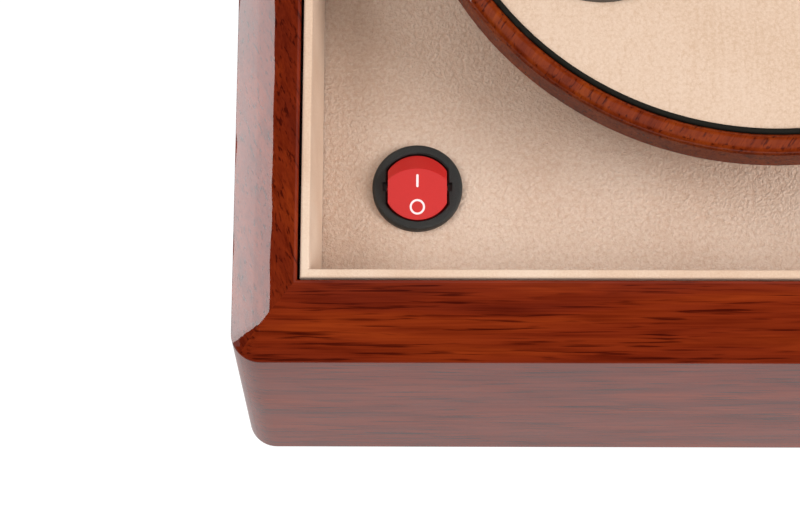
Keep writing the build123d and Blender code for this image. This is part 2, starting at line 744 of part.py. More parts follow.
# The rocker's frame tilts with it: X along the pivot, Y towards the I end.
rocker_level = Plane(Location((switch_x, switch_y, rocker_pivot), (rocker_tilt, 0, 0)))
rocker_side = Plane(origin=rocker_level.origin, x_dir=rocker_level.y_dir, z_dir=rocker_level.x_dir)
bevel_centre = rocker_crest_y - rocker_crest_radius
bevel_axis = Axis(rocker_level.from_local_coords(Vector(0, bevel_centre, 0)), rocker_level.z_dir)
bevel_foot_radius = rocker_radius - bevel_centre
bevel_slope = (rocker_crest - rocker_foot) / (bevel_foot_radius - rocker_crest_radius)
bevel_apex = rocker_crest + bevel_slope * rocker_crest_radius
with BuildPart() as switch_rocker:
    with BuildSketch(rocker_level.offset(-rocker_skirt)):
        Circle(rocker_radius)
        Rectangle(2 * rocker_half_width, 2 * rocker_radius, mode=Mode.INTERSECT)
    extrude(amount=rocker_skirt + bevel_apex)
    face_slope = (rocker_crest - rocker_low_end) / (rocker_crest_y + rocker_radius)
    face_far_end = rocker_crest + face_slope * (rocker_radius - rocker_crest_y)
    face_middle = (rocker_low_end + face_far_end) / 2 - rocker_dish
    with BuildSketch(rocker_side):
        with BuildLine():
            ThreePointArc((-rocker_radius, rocker_low_end), (0, face_middle), (rocker_radius, face_far_end))
            Polyline(
                (rocker_radius, face_far_end),
                (rocker_radius, -rocker_skirt),
                (-rocker_radius, -rocker_skirt),
                (-rocker_radius, rocker_low_end),
            )
        make_face()
    extrude(amount=rocker_half_width, both=True, mode=Mode.INTERSECT)
    with BuildSketch(rocker_side):
        Polygon(
            (bevel_centre, -rocker_skirt),
            (bevel_centre + bevel_foot_radius, -rocker_skirt),
            (bevel_centre + bevel_foot_radius, rocker_foot),
            (bevel_centre, bevel_apex),
            align=None,
        )
    revolve(axis=bevel_axis, mode=Mode.INTERSECT)
    fillet(switch_rocker.faces().sort_by(Axis.Z)[-1].edges(), rocker_edge)
    with BuildSketch(rocker_side):
        Circle(pip_radius)
    extrude(amount=rocker_half_width + pip_reach + rocker_side_clearance / 2, both=True)
switch_rocker.part.label = "switch_rocker"
export_step(switch_rocker.part, "parts/switch_rocker.step")

with BuildPart() as switch_terminals:
    with BuildSketch(switch_plane.offset(deck_top - switch_body_depth)):
        with GridLocations(0, terminal_spacing, 1, 2):
            Rectangle(terminal_width, terminal_thickness)
    extrude(amount=-terminal_length)
switch_terminals.part.label = "switch_terminals"
export_step(switch_terminals.part, "parts/switch_terminals.step")

# ---- Power inlet through the back wall, held by a nut --------------------------
with BuildPart() as power_inlet:
    with BuildSketch(inlet_plane.offset(inlet_barrel_reach)):
        Circle(inlet_barrel_radius)
    extrude(amount=-inlet_barrel_reach - inlet_skin)
    with BuildSketch(inlet_plane.offset(-inlet_skin)):
        Circle(inlet_body_radius)
    extrude(amount=-inlet_body_length)
    with BuildSketch(inlet_plane.offset(inlet_barrel_reach)):
        Circle(inlet_bore_radius)
    extrude(amount=-inlet_bore_depth, mode=Mode.SUBTRACT)
    with BuildSketch(inlet_plane.offset(inlet_barrel_reach - inlet_bore_depth)):
        Circle(inlet_pin_radius)
    extrude(amount=inlet_pin_length)
power_inlet.part.label = "power_inlet"
export_step(power_inlet.part, "parts/power_inlet.step")

with BuildPart() as inlet_nut:
    with BuildSketch(inlet_plane):
        RegularPolygon(nut_radius, 6)
        Circle(inlet_barrel_radius + fixed_clearance, mode=Mode.SUBTRACT)
    extrude(amount=nut_thickness)
inlet_nut.part.label = "inlet_nut"
export_step(inlet_nut.part, "parts/inlet_nut.step")

# ---- Driver board on four posts, with its chip, capacitor and plug block -------
circuit_plane = shifted(Plane.XY, board_x, board_y)
circuit_base = board_top + circuit_lift
circuit_top = circuit_base + circuit_thickness
with BuildPart() as driver_board:
    with BuildSketch(circuit_plane.offset(circuit_base)):
        Rectangle(circuit_width, circuit_depth)
    extrude(amount=circuit_thickness)
    with BuildSketch(circuit_plane.offset(circuit_top)):
        Rectangle(chip_width, chip_depth)
    extrude(amount=chip_height)
    with BuildSketch(circuit_plane.offset(circuit_top)):
        with Locations((-circuit_width / 4, 0)):
            Circle(capacitor_radius)
    extrude(amount=capacitor_height)
    with BuildSketch(circuit_plane.offset(circuit_top)):
        with GridLocations(circuit_width - plug_block_width, 0, 2, 1):
            Rectangle(plug_block_width, circuit_depth / 3)
    extrude(amount=plug_block_height)
driver_board.part.label = "driver_board"
export_step(driver_board.part, "parts/driver_board.step")

with BuildPart() as board_posts:
    post_grid_x = circuit_width - 2 * circuit_post_inset
    post_grid_y = circuit_depth - 2 * circuit_post_inset
    with BuildSketch(circuit_plane.offset(board_top)):
        with GridLocations(post_grid_x, post_grid_y, 2, 2):
            Circle(circuit_post_radius)
    extrude(amount=circuit_lift)
board_posts.part.label = "board_posts"
export_step(board_posts.part, "parts/board_posts.step")

# ---- Inside wires: inlet, motor and switch to the driver board -----------------
wire_height = circuit_top + plug_block_height / 2
left_block = board_x - (circuit_width - plug_block_width) / 2
right_block = board_x + (circuit_width - plug_block_width) / 2
block_front = board_y - circuit_depth / 6
board_front = board_y - circuit_depth / 2
motor_side = gear_distance - motor_radius
motor_middle = plate_height - gearbox_height - motor_height / 2
inlet_inner = case_depth / 2 - inlet_skin - inlet_body_length
switch_foot = deck_top - switch_body_depth - terminal_length
wire_runs = {
    "inlet_wire": [
        (inlet_x, inlet_inner, inlet_height),
        (inlet_x, inlet_inner - wire_lead, inlet_height),
        (right_block + wire_sweep, board_y, wire_height),
        (right_block + plug_block_width / 2, board_y, wire_height),
    ],
    "motor_wire": [
        (right_block, block_front, wire_height),
        (right_block, board_front - wire_bend, wire_height),
        (0, motor_side, motor_middle),
        (motor_side / 2, 0, motor_middle),
        (motor_side, 0, motor_middle),
    ],
    "switch_wire": [
        (switch_x, switch_y + terminal_spacing / 2, switch_foot),
        (switch_x, switch_y + terminal_spacing / 2, switch_foot - wire_sweep),
        (left_block, board_front - wire_lead, wire_height),
        (left_block, block_front, wire_height),
    ],
}
for wire_name, points in wire_runs.items():
    with BuildPart() as wire:
        with BuildLine() as route:
            FilletPolyline(*points, radius=wire_bend)
        with BuildSketch(Plane(origin=route.line @ 0, z_dir=route.line % 0)):
            Circle(wire_radius)
        sweep(path=route.line)
    wire.part.label = wire_name
    export_step(wire.part, f"parts/{wire_name}.step")

# ---- Lid rails: the same wall, with a lip over the glass -----------------------
lid_reach = case_wall + lid_lip
for side, (turn, length, reach, _, _) in sides.items():
    frame = side_frame(lid_frame, turn, reach)
    with BuildPart() as lid_rail:
        extrude(lid_section(cross_plane(frame), lid_reach), amount=length / 2 - corner_round, both=True)
        extrude(mitre_outline(frame, length, lid_reach), amount=lid_height, mode=Mode.INTERSECT)
        for end in (-1, 1):
            corner = cross_plane(frame, end * (length / 2 - corner_round))
            revolve(lid_section(corner, corner_round), corner_axis(frame, length, end), 45)
    lid_rail.part.label = f"lid_rail_{side}"
    export_step(lid_rail.part, f"parts/lid_rail_{side}.step")

# ---- Lid glass, bedded up under the lip ----------------------------------------
glass_top = lid_height - lid_lip_thickness
with BuildPart() as lid_glass:
    with BuildSketch(lid_frame.offset(glass_top - glass_thickness)):
        Rectangle(opening_width - 2 * glass_clearance, opening_depth - 2 * glass_clearance)
    extrude(amount=glass_thickness)
lid_glass.part.label = "lid_glass"
export_step(lid_glass.part, "parts/lid_glass.step")

# ---- Lid lining: velvet-covered strips that also hold the glass up -------------
for side, (turn, _, _, length, reach) in sides.items():
    frame = side_frame(lid_frame, turn, reach)
    strip_height = glass_top - glass_thickness - lid_lining_setback
    with BuildPart() as lid_lining:
        with BuildSketch(cross_plane(frame)) as strip_face:
            with Locations((lid_lining_gap, lid_lining_setback)):
                Rectangle(lid_lining_thickness, strip_height, align=(Align.MIN, Align.MIN))
            fillet(strip_face.vertices().group_by(Axis.Y)[0], lining_round)
        extrude(amount=length / 2, both=True)
        extrude(mitre_outline(frame, length, case_wall), amount=lid_height, mode=Mode.INTERSECT)
    lid_lining.part.label = f"lid_lining_{side}"
    export_step(lid_lining.part, f"parts/lid_lining_{side}.step")

# ---- Four soft bumpers on the lid's lower land ---------------------------------
bumper_spacing_x = opening_width + lid_land
bumper_spacing_y = opening_depth - 2 * bumper_from_corner
with BuildPart() as lid_bumpers:
    with BuildSketch(lid_frame):
        with GridLocations(bumper_spacing_x, bumper_spacing_y, 2, 2):
            Circle(bumper_radius)
    extrude(amount=-bumper_height)
lid_bumpers.part.label = "lid_bumpers"
export_step(lid_bumpers.part, "parts/lid_bumpers.step")

# ---- Hinges: a base leaf, a lid leaf and a pin, twice --------------------------
# Each leaf lies on the back face and turns into knuckles about the hinge axis.
knuckle = hinge_length / 3
base_hinge_frame = Plane(Location((0, hinge_y, hinge_z)))
lid_hinge_frame = Plane(hinge_line)


def hinge_leaves(frame, way, height, knuckle_spots, screw_rise):
    """Two leaves flat on a back face, way up (1) or down (-1) from the hinge axis."""
    lower_edge = Align.MIN if way > 0 else Align.MAX
    with BuildPart() as leaves:
        for middle in (-hinge_spacing / 2, hinge_spacing / 2):
            with BuildSketch(cross_plane(frame, middle)):
                with Locations((-knuckle_radius, way * (knuckle_radius + knuckle_gap))):
                    leaf_length = height - knuckle_radius - knuckle_gap
                    Rectangle(hinge_leaf, leaf_length, align=(Align.MIN, lower_edge))
            extrude(amount=hinge_length / 2, both=True)
            for spot in knuckle_spots:
                with BuildSketch(cross_plane(frame, middle + spot * knuckle)):
                    Circle(knuckle_radius)
                    with Locations((-knuckle_radius, 0)):
                        web = knuckle_radius + 2 * knuckle_gap
                        Rectangle(hinge_leaf, web, align=(Align.MIN, lower_edge))
                    Circle(pin_radius + running_clearance, mode=Mode.SUBTRACT)
                extrude(amount=(knuckle - knuckle_gap) / 2, both=True)
        with BuildSketch(screw_plane(frame, way * screw_rise)):
            screw_spots(screw_radius + fixed_clearance)
        extrude(amount=hinge_leaf, mode=Mode.SUBTRACT)
    return leaves.part


def screw_plane(frame, rise):
    """Plane of the back face at the height of the hinge screws, facing outwards."""
    origin = frame.from_local_coords(Vector(0, -knuckle_radius, rise))
    return Plane(origin=origin, x_dir=frame.x_dir, z_dir=frame.y_dir)


def screw_spots(radius):
    """Circles at the hinge screws' places."""
    with GridLocations(hinge_spacing, 0, 2, 1):
        with GridLocations(leaf_screw_spacing, 0, 2, 1):
            Circle(radius)


hinge_kinds = {
    "base": (base_hinge_frame, -1, base_leaf_height, (-1, 1), base_leaf_screw_drop),
    "lid": (lid_hinge_frame, 1, lid_leaf_height, (0,), lid_leaf_screw_rise),
}
for kind, (frame, way, height, knuckle_spots, screw_rise) in hinge_kinds.items():
    with BuildPart() as hinge_leaf_pair:
        add(hinge_leaves(frame, way, height, knuckle_spots, screw_rise))
    hinge_leaf_pair.part.label = f"hinge_{kind}_leaves"
    export_step(hinge_leaf_pair.part, f"parts/hinge_{kind}_leaves.step")

    with BuildPart() as hinge_screws:
        with BuildSketch(screw_plane(frame, way * screw_rise)):
            screw_spots(screw_radius)
        extrude(amount=hinge_leaf)
        with BuildSketch(screw_plane(frame, way * screw_rise).offset(hinge_leaf)):
            screw_spots(screw_head_radius)
        extrude(amount=screw_head_height)
    hinge_screws.part.label = f"hinge_{kind}_screws"
    export_step(hinge_screws.part, f"parts/hinge_{kind}_screws.step")

with BuildPart() as hinge_pins:
    for middle in (-hinge_spacing / 2, hinge_spacing / 2):
        with BuildSketch(cross_plane(base_hinge_frame, middle)):
            Circle(pin_radius)
        extrude(amount=hinge_length / 2, both=True)
hinge_pins.part.label = "hinge_pins"
export_step(hinge_pins.part, "parts/hinge_pins.step")
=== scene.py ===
import bmesh
import bpy
import math
from mathutils import Matrix, Vector
from mathutils.bvhtree import BVHTree


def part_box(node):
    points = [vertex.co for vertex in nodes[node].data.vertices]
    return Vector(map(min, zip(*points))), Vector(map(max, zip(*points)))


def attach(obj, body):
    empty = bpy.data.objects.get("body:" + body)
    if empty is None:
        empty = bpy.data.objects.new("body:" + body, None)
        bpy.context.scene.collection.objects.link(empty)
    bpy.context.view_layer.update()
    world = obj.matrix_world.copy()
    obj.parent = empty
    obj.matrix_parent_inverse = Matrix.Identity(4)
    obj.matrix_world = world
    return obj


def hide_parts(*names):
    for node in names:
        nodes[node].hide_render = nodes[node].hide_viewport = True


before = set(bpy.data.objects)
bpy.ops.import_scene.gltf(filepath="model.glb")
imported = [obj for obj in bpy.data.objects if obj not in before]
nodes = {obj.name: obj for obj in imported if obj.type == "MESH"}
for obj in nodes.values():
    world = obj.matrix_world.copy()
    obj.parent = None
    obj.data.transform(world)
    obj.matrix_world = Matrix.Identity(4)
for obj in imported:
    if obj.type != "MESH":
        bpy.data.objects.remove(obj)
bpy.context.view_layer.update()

# ---- Camera --------------------------------------------------------------------
# A camera on a copy stand, over the front left corner and looking almost straight
# down. Its place is measured from the rim's inner front left corner.
scene = bpy.context.scene
lining_gap = 0.0007
rim_corner = Vector((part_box("lining_left")[0].x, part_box("lining_front")[0].y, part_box("base_wall_left")[1].z))
rim_corner -= Vector((lining_gap, lining_gap, 0))

camera_data = bpy.data.cameras.new("camera")
camera_data.lens = 121.5
camera_data.sensor_width = 36.0
camera = bpy.data.objects.new("camera", camera_data)
scene.collection.objects.link(camera)
scene.camera = camera
camera_place = rim_corner + Vector((0.0288, -0.1981, 0.6260))
camera_aim = rim_corner + Vector((0.02494, 0.01152, -0.0250))
look = (camera_aim - camera_place).normalized()
level = look.cross(Vector((0, 1, 0))).normalized()
camera_axes = Matrix((level, level.cross(look), -look)).transposed().to_4x4()
camera_roll = Matrix.Rotation(math.radians(0.23), 4, "Z")
camera.matrix_world = Matrix.Translation(camera_place) @ camera_axes @ camera_roll

# ---- Table and studio light ----------------------------------------------------
# A lit white table, a wide overhead diffuser, and a low strip light that stands on
# the table to the left, whose long reflection lies along the left rim.
scene.view_settings.view_transform = "Standard"


def srgb(code):
    """A hex colour such as 802b10 as linear red, green, blue and alpha."""
    parts = [int(code[i : i + 2], 16) / 255 for i in (0, 2, 4)]
    return [p / 12.92 if p <= 0.04045 else ((p + 0.055) / 1.055) ** 2.4 for p in parts] + [1.0]


def add_node(tree, kind, settings=None, inputs=None):
    """Adds one node. An input is a number, a colour, a vector or another node's output."""
    made = tree.nodes.new(kind)
    for key, value in (settings or {}).items():
        if key == "stops":
            ramp = made.color_ramp.elements
            while len(ramp) < len(value):
                ramp.new(0.5)
            for stop, (place, code) in zip(ramp, value):
                stop.position = place
                stop.color = srgb(code)
        else:
            setattr(made, key, value)
    for key, value in (inputs or {}).items():
        if isinstance(value, bpy.types.NodeSocket):
            tree.links.new(value, made.inputs[key])
        else:
            made.inputs[key].default_value = value
    return made


def new_material(name, **constants):
    """A material whose shader has these constants, with spaces written as underscores."""
    material = bpy.data.materials.new(name)
    material.use_nodes = True
    shader = material.node_tree.nodes["Principled BSDF"]
    for key, value in constants.items():
        shader.inputs[key.replace("_", " ")].default_value = value
    return material, material.node_tree, shader


room = bpy.data.worlds.new("studio_room")
scene.world = room
room.use_nodes = True
tree = room.node_tree
sky = add_node(tree, "ShaderNodeTexCoord")
height = add_node(tree, "ShaderNodeSeparateXYZ", {}, {0: sky.outputs["Generated"]})
diffuser = add_node(
    tree,
    "ShaderNodeMapRange",
    {"interpolation_type": "SMOOTHSTEP"},
    {0: height.outputs["Z"], 1: 0.45, 2: 0.85},
)
level_of_light = add_node(
    tree, "ShaderNodeMath", {"operation": "MULTIPLY_ADD"}, {0: diffuser.outputs[0], 1: 0.80, 2: 0.06}
)
tree.links.new(level_of_light.outputs[0], tree.nodes["Background"].inputs["Strength"])
tree.nodes["Background"].inputs["Color"].default_value = (1.0, 0.985, 0.96, 1)

case_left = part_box("base_wall_left")[0].x
strip_gap = 0.30
lights = {
    "left_strip": ((case_left - strip_gap, 0.20, 0.069), (case_left, 0.20, 0.069), (0.70, 0.104), 2.4),
    "left_fill": ((-0.85, 0.10, 1.00), (-0.05, 0.0, 0.08), (0.60, 0.60), 6.0),
    "right_softbox": ((1.0, -0.38, 0.80), (-0.05, -0.03, 0.08), (0.60, 0.60), 13.8),
}
for name, (place, aim, size, power) in lights.items():
    light_data = bpy.data.lights.new(name, "AREA")
    light_data.shape = "RECTANGLE"
    light_data.size, light_data.size_y = size
    light_data.energy = power
    light = bpy.data.objects.new(name, light_data)
    scene.collection.objects.link(light)
    light.location = place
    light.rotation_euler = (Vector(aim) - Vector(place)).to_track_quat("-Z", "Y").to_euler()
bpy.data.objects["left_strip"].visible_diffuse = False
bpy.data.objects["left_fill"].visible_glossy = False

table_half = 1.6
table_mesh = bpy.data.meshes.new("table_top")
table_corners = [(-table_half, -table_half), (table_half, -table_half), (table_half, table_half)]
table_corners.append((-table_half, table_half))
table_mesh.from_pydata([(x, y, -0.0002) for x, y in table_corners], [], [(0, 1, 2, 3)])
table = bpy.data.objects.new("table_top", table_mesh)
scene.collection.objects.link(table)
paper, tree, shader = new_material("lit_white_table", Roughness=0.9, Specular_IOR_Level=0.0)
paper_grain = add_node(tree, "ShaderNodeTexNoise", {}, {"Scale": 400.0, "Detail": 2.0})
paper_tone = add_node(
    tree,
    "ShaderNodeValToRGB",
    {"stops": [(0.0, "5a5a5a"), (1.0, "606060")]},
    {"Fac": paper_grain.outputs["Fac"]},
)
tree.links.new(paper_tone.outputs["Color"], shader.inputs["Base Color"])
shader.inputs["Emission Color"].default_value = (1, 1, 1, 1)
shader.inputs["Emission Strength"].default_value = 1.0
table_mesh.materials.append(paper)

# ---- Case walls and lid rails --------------------------------------------------
# Fibreboard faced with sapele veneer, stained red-brown and buried under polished
# polyester lacquer: a sharp clear reflection over soft figure and short dark pores.
# The pores of the real veneer are finer, and are drawn coarse enough to show.
sag_mm = 28.0               # between the lacquer's slow swells


def lacquered_veneer(name, grain, lean=0.0, figure_code=("6c200e", "80290e", "923510")):
    """Veneer whose grain runs along axis 0, 1 or 2, turned by lean about Z, under lacquer."""
    material, tree, shader = new_material(
        name, Roughness=0.5, Specular_IOR_Level=0.0, Coat_Weight=0.44, Coat_Roughness=0.012, Coat_IOR=1.5
    )
    place = add_node(tree, "ShaderNodeTexCoord")
    cut = add_node(
        tree,
        "ShaderNodeMapping",
        {},
        {"Vector": place.outputs["Object"], "Rotation": (0.0, 0.0, lean), "Scale": (1000.0, 1000.0, 1000.0)},
    )

    def streaks(length_mm, width_mm, detail, distortion=0.0):
        """Noise drawn out along the grain, from 0 to 1."""
        run = [1 / width_mm] * 3
        run[grain] = 1 / length_mm
        drawn = add_node(tree, "ShaderNodeMapping", {}, {"Vector": cut.outputs[0], "Scale": run})
        noise = add_node(
            tree,
            "ShaderNodeTexNoise",
            {},
            {"Vector": drawn.outputs[0], "Scale": 1.0, "Detail": detail, "Distortion": distortion},
        )
        return noise.outputs["Fac"]

    def laid_over(under, over, share):
        """Multiplies one colour onto another."""
        mix = add_node(
            tree,
            "ShaderNodeMix",
            {"data_type": "RGBA", "blend_type": "MULTIPLY"},
            {0: share, 6: under, 7: over},
        )
        return mix.outputs[2]

    low, middle, high = figure_code
    figure = add_node(
        tree,
        "ShaderNodeValToRGB",
        {"stops": [(0.26, low), (0.5, middle), (0.74, high)]},
        {"Fac": streaks(80.0, 9.0, 2.0, 0.6)},
    )
    ribbon = add_node(
        tree,
        "ShaderNodeValToRGB",
        {"stops": [(0.48, "ffffff"), (0.75, "bfa29a")]},
        {"Fac": streaks(26.0, 2.4, 2.0, 0.4)},
    )
    pores = add_node(
        tree,
        "ShaderNodeValToRGB",
        {"stops": [(0.56, "ffffff"), (0.68, "8f6864")]},
        {"Fac": streaks(17.0, 0.8, 2.0, 0.25)},
    )
    fibres = add_node(
        tree,
        "ShaderNodeValToRGB",
        {"stops": [(0.30, "e2d2ca"), (0.60, "ffffff")]},
        {"Fac": streaks(20.0, 0.45, 1.0)},
    )
    stained = laid_over(figure.outputs["Color"], ribbon.outputs["Color"], 0.8)
    pored = laid_over(stained, pores.outputs["Color"], 0.85)
    fibred = laid_over(pored, fibres.outputs["Color"], 0.8)
    tree.links.new(fibred, shader.inputs["Base Color"])
    sag = add_node(
        tree,
        "ShaderNodeTexNoise",
        {},
        {"Vector": cut.outputs[0], "Scale": 1 / sag_mm, "Detail": 1.0},
    )
    flow = add_node(
        tree, "ShaderNodeBump", {}, {"Height": sag.outputs["Fac"], "Strength": 0.25, "Distance": 0.0012}
    )
    tree.links.new(flow.outputs["Normal"], shader.inputs["Coat Normal"])
    return material


def finish_with(material, *names):
    """Puts a material on these CAD nodes."""
    for name in names:
        for held in nodes[name].material_slots:
            held.material = material


grain_lean = math.radians(-27)
long_veneer = lacquered_veneer("lacquered_veneer_across", 0)
side_veneer = lacquered_veneer("lacquered_veneer_deep", 1, grain_lean)
upright_veneer = lacquered_veneer("lacquered_veneer_upright", 2)
finish_with(long_veneer, "base_wall_front", "base_wall_back", "lid_rail_front", "lid_rail_back")
finish_with(side_veneer, "base_wall_left", "base_wall_right")
finish_with(upright_veneer, "lid_rail_left", "lid_rail_right")

# ---- Turntable ring ------------------------------------------------------------
# Turned from solid sapele, stained and lacquered like the case. Its figure runs
# across the ring here and along it there, as on any ring cut from one board.
ring_veneer = lacquered_veneer("lacquered_turned_sapele", 1, math.radians(32), ("6e250c", "80300d", "8f3c0e"))
finish_with(ring_veneer, "turntable_ring")

# ---- Recess and lid lining -----------------------------------------------------
# Thin boards wrapped in cream velvet. The short pile catches the light along the
# upper edges and reads paler there than on the flat faces.


def in_millimetres(tree, stretch=(1.0, 1.0, 1.0)):
    """The piece's own coordinates in millimetres, drawn out along each axis by stretch."""
    place = add_node(tree, "ShaderNodeTexCoord")
    scale = [1000.0 / s for s in stretch]
    return add_node(
        tree, "ShaderNodeMapping", {}, {"Vector": place.outputs["Object"], "Scale": scale}
    ).outputs["Vector"]


velvet, tree, shader = new_material(
    "cream_velvet", Roughness=0.92, Specular_IOR_Level=0.1, Sheen_Weight=0.35, Sheen_Roughness=0.4
)
shader.inputs["Sheen Tint"].default_value = srgb("fff0e2")
pile = add_node(tree, "ShaderNodeTexNoise", {}, {"Vector": in_millimetres(tree), "Scale": 2.2, "Detail": 3.0})
brushed = add_node(
    tree, "ShaderNodeTexNoise", {}, {"Vector": in_millimetres(tree, (25, 25, 25)), "Scale": 1.0}
)
pile_mix = add_node(
    tree,
    "ShaderNodeMath",
    {"operation": "MULTIPLY_ADD"},
    {0: pile.outputs["Fac"], 1: 0.5, 2: brushed.outputs["Fac"]},
)
pile_tone = add_node(
    tree,
    "ShaderNodeValToRGB",
    {"stops": [(0.55, "d3b298"), (0.78, "ddc0a8"), (1.0, "e5ccb6")]},
    {"Fac": pile_mix.outputs[0]},
)
tree.links.new(pile_tone.outputs["Color"], shader.inputs["Base Color"])
pile_bump = add_node(
    tree, "ShaderNodeBump", {}, {"Height": pile.outputs["Fac"], "Strength": 0.35, "Distance": 0.0003}
)
tree.links.new(pile_bump.outputs["Normal"], shader.inputs["Normal"])
finish_with(velvet, *[n for n in nodes if n.startswith(("lining_", "lid_lining_"))])

# ---- Deck, turntable top and cushion covers ------------------------------------
# Beige microfibre suede. On the deck it is embossed with a fine leather pebble,
# about a millimetre across; on the turntable it is smooth with a faint weave.


def suede_cover(name, low, middle, high, pebble_mm, depth, weave=0.0):
    """Suede in three close tones, with pebbles of pebble_mm raised by depth metres."""
    material, tree, shader = new_material(
        name, Roughness=0.9, Specular_IOR_Level=0.12, Sheen_Weight=0.2, Sheen_Roughness=0.5
    )
    place = in_millimetres(tree)
    pebble = add_node(
        tree,
        "ShaderNodeTexVoronoi",
        {"feature": "SMOOTH_F1"},
        {"Vector": place, "Scale": 1 / pebble_mm, "Smoothness": 0.7, "Randomness": 1.0},
    )
    nap = add_node(tree, "ShaderNodeTexNoise", {}, {"Vector": place, "Scale": 2.6, "Detail": 3.0})
    cloud = add_node(tree, "ShaderNodeTexNoise", {}, {"Vector": place, "Scale": 1 / 30.0, "Detail": 1.0})
    crossed = add_node(
        tree, "ShaderNodeTexNoise", {}, {"Vector": in_millimetres(tree, (0.9, 14, 5)), "Scale": 1.0}
    )
    raised = add_node(
        tree,
        "ShaderNodeMath",
        {"operation": "MULTIPLY_ADD"},
        {0: pebble.outputs["Distance"], 1: -0.6, 2: nap.outputs["Fac"]},
    )
    woven = add_node(
        tree,
        "ShaderNodeMath",
        {"operation": "MULTIPLY_ADD"},
        {0: crossed.outputs["Fac"], 1: weave, 2: raised.outputs[0]},
    )
    shade = add_node(
        tree,
        "ShaderNodeMath",
        {"operation": "MULTIPLY_ADD"},
        {0: cloud.outputs["Fac"], 1: 0.5, 2: woven.outputs[0]},
    )
    centre = 0.75 - 0.27 + 0.5 * weave
    tone = add_node(
        tree,
        "ShaderNodeValToRGB",
        {"stops": [(centre - 0.28, low), (centre, middle), (centre + 0.28, high)]},
        {"Fac": shade.outputs[0]},
    )
    tree.links.new(tone.outputs["Color"], shader.inputs["Base Color"])
    relief = add_node(
        tree, "ShaderNodeBump", {}, {"Height": woven.outputs[0], "Strength": 0.6, "Distance": depth}
    )
    tree.links.new(relief.outputs["Normal"], shader.inputs["Normal"])
    return material


deck_suede = suede_cover("pebbled_deck_suede", "d3b39d", "dcc1ad", "e3cbb9", 1.0, 0.0011)
disc_suede = suede_cover("smooth_turntable_suede", "ceb097", "d7bba4", "ddc3ae", 0.9, 0.00012, 0.35)
finish_with(deck_suede, "deck_panel")
finish_with(disc_suede, "turntable_disc")

# ---- Moulded, sawn and pressed parts -------------------------------------------
# Switch body, collars, piping, gears, board, felt and wires. Each is one moulded or
# pressed material with the fine grain that its tool or its fibres leave.


def fine_grained(name, code, roughness, grain_mm, depth, gloss=0.5, spread=0.16):
    """A plain-coloured material with a grain of grain_mm in its tone and its relief."""
    material, tree, shader = new_material(name, Roughness=roughness, Specular_IOR_Level=gloss)
    grain = add_node(
        tree, "ShaderNodeTexNoise", {}, {"Vector": in_millimetres(tree), "Scale": 1 / grain_mm, "Detail": 3.0}
    )
    colour = srgb(code)[:3]
    tone = add_node(
        tree,
        "ShaderNodeMix",
        {"data_type": "RGBA"},
        {
            0: grain.outputs["Fac"],
            6: [c * (1 - spread) for c in colour] + [1.0],
            7: [min(1.0, c * (1 + spread)) for c in colour] + [1.0],
        },
    )
    tree.links.new(tone.outputs[2], shader.inputs["Base Color"])
    relief = add_node(
        tree, "ShaderNodeBump", {}, {"Height": grain.outputs["Fac"], "Strength": 0.5, "Distance": depth}
    )
    tree.links.new(relief.outputs["Normal"], shader.inputs["Normal"])
    return material


spark_black = fine_grained("spark_textured_black", "202221", 0.5, 0.3, 0.0009, 0.5, 0.5)
acetal = fine_grained("natural_acetal", "ddd9cc", 0.45, 0.8, 0.00005)
raw_board = fine_grained("raw_fibreboard", "a2825c", 0.85, 0.6, 0.0002, 0.2)
black_felt = fine_grained("pressed_black_felt", "1b1b1d", 0.97, 0.5, 0.0005, 0.1, 0.4)
resist = fine_grained("green_solder_resist", "14532c", 0.35, 1.2, 0.00003)
sleeve = fine_grained("black_wire_sleeve", "161616", 0.5, 1.0, 0.00003)
cord_black = fine_grained("black_piping_cord", "1a1914", 0.85, 0.5, 0.0003, 0.2, 0.35)
clear_grey = fine_grained("soft_grey_bumper", "b4b6b6", 0.3, 1.0, 0.00003)
collar_grey = fine_grained("satin_grey_collar", "4a4744", 0.4, 0.6, 0.00008)
flocking = fine_grained("flocked_grey_cup", "4a4540", 0.95, 0.4, 0.0003, 0.1, 0.3)
finish_with(spark_black, "switch_body", "power_inlet", "inlet_nut")
finish_with(acetal, "turntable_gear", "motor_pinion", "turntable_hub")
finish_with(raw_board, "base_board", "deck_bearer_left", "deck_bearer_right")
finish_with(black_felt, "base_felt")
finish_with(resist, "driver_board")
finish_with(sleeve, "inlet_wire", "motor_wire", "switch_wire")
finish_with(cord_black, "ring_piping")
finish_with(clear_grey, "lid_bumpers")
finish_with(collar_grey, "well_collar_left", "well_collar_right")
finish_with(flocking, "well_cup_left", "well_cup_right")

# ---- Metal parts ---------------------------------------------------------------
# Zinc-plated steel under the deck and drawn brass at the hinges, bush and blades.
# Fine working marks about half a millimetre wide break up their reflections.


def worked_metal(name, code, roughness, mark_mm):
    """Metal with marks mark_mm wide, drawn out along X."""
    material, tree, shader = new_material(name, Metallic=1.0, Base_Color=srgb(code))
    marks = add_node(
        tree,
        "ShaderNodeTexNoise",
        {},
        {"Vector": in_millimetres(tree, (12, 1, 1)), "Scale": 1 / mark_mm, "Detail": 4.0},
    )
    rough = add_node(
        tree, "ShaderNodeMapRange", {}, {0: marks.outputs["Fac"], 3: roughness * 0.75, 4: roughness * 1.35}
    )
    tree.links.new(rough.outputs[0], shader.inputs["Roughness"])
    relief = add_node(
        tree, "ShaderNodeBump", {}, {"Height": marks.outputs["Fac"], "Strength": 0.2, "Distance": 0.0001}
    )
    tree.links.new(relief.outputs["Normal"], shader.inputs["Normal"])
    return material


